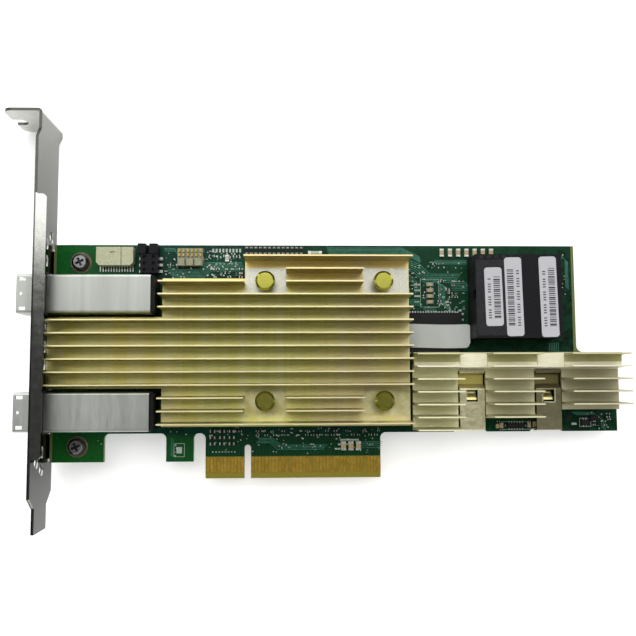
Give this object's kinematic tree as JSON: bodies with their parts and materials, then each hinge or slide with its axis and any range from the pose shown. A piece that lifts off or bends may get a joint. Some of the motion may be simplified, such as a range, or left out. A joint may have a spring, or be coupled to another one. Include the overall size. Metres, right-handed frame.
{
  "type": "raid controller card",
  "caption": "Storage controller add-in card: full-height bracket with two external ports, finned gold heat sink, clipped tan heat sink, two internal ports and an edge connector.",
  "frame": {"origin": "centre of the bounding box's base, on the surface that the card lies on, solder side down", "axes": "+X along the card from the bracket to its far end, +Y across the card from the edge connector to the bracket's screw tab, +Z out of the component side"},
  "size_m": [0.1796, 0.12, 0.0216],
  "materials": {
    "board": "green solder mask over glass laminate",
    "gold_plate": "hard gold plating",
    "bracket_steel": "bright zinc plate",
    "screw_steel": "nickel plate",
    "cage_steel": "tin plate",
    "black_plastic": "moulded black nylon",
    "foam": "black conductive foam",
    "paper": "plain paper label",
    "chip_black": "moulded epoxy",
    "chip_lid": "nickel-plated lid",
    "thermal_pad": "soft grey thermal pad",
    "gold_anodised": "gold anodised",
    "tan_anodised": "tan anodised",
    "brass": "turned brass",
    "spring_steel": "spring wire",
    "clip_steel": "tan coated spring steel",
    "grey_film": "grey film",
    "ivory_plastic": "ivory nylon",
    "tinned": "tinned copper",
    "ceramic": "cream ceramic",
    "dark_ceramic": "dark resistor body"
  },
  "bodies": {
    "root": {"circuit_board": "board", "edge_contacts": "gold_plate", "io_bracket": "bracket_steel", "bracket_screws": "screw_steel", "port_cage_upper": "cage_steel", "port_cage_lower": "cage_steel", "port_insert_upper": "black_plastic", "port_insert_lower": "black_plastic", "port_contacts_upper": "gold_plate", "port_contacts_lower": "gold_plate", "port_gasket_upper": "foam", "port_gasket_lower": "foam", "inner_port_left": "black_plastic", "inner_port_right": "black_plastic", "inner_contacts_left": "gold_plate", "inner_contacts_right": "gold_plate", "port_label_short": "paper", "port_label_long": "paper", "port_label_end": "paper", "controller_chip": "chip_lid", "controller_pad": "thermal_pad", "main_heatsink": "gold_anodised", "push_pins": "brass", "pin_springs": "spring_steel", "memory_chips": "chip_black", "memory_pads": "thermal_pad", "second_heatsink": "tan_anodised", "spring_clip_left": "clip_steel", "spring_clip_right": "clip_steel", "flash_chip": "chip_black", "grey_strip": "grey_film", "cable_header": "ivory_plastic", "cable_header_pins": "tinned", "jumper_header": "black_plastic", "jumper_terminals": "tinned", "jumper_caps": "black_plastic", "led_header": "ivory_plastic", "led_pins": "gold_plate", "cream_capacitors": "ceramic", "resistor_packs": "dark_ceramic", "resistor_array": "ceramic", "bar_capacitors": "ceramic", "ferrite_beads": "dark_ceramic", "logic_chips": "chip_black", "tab_resistors": "dark_ceramic", "under_capacitors": "ceramic", "port_tails": "tinned", "under_chips": "chip_black"}
  },
  "joints": []
}
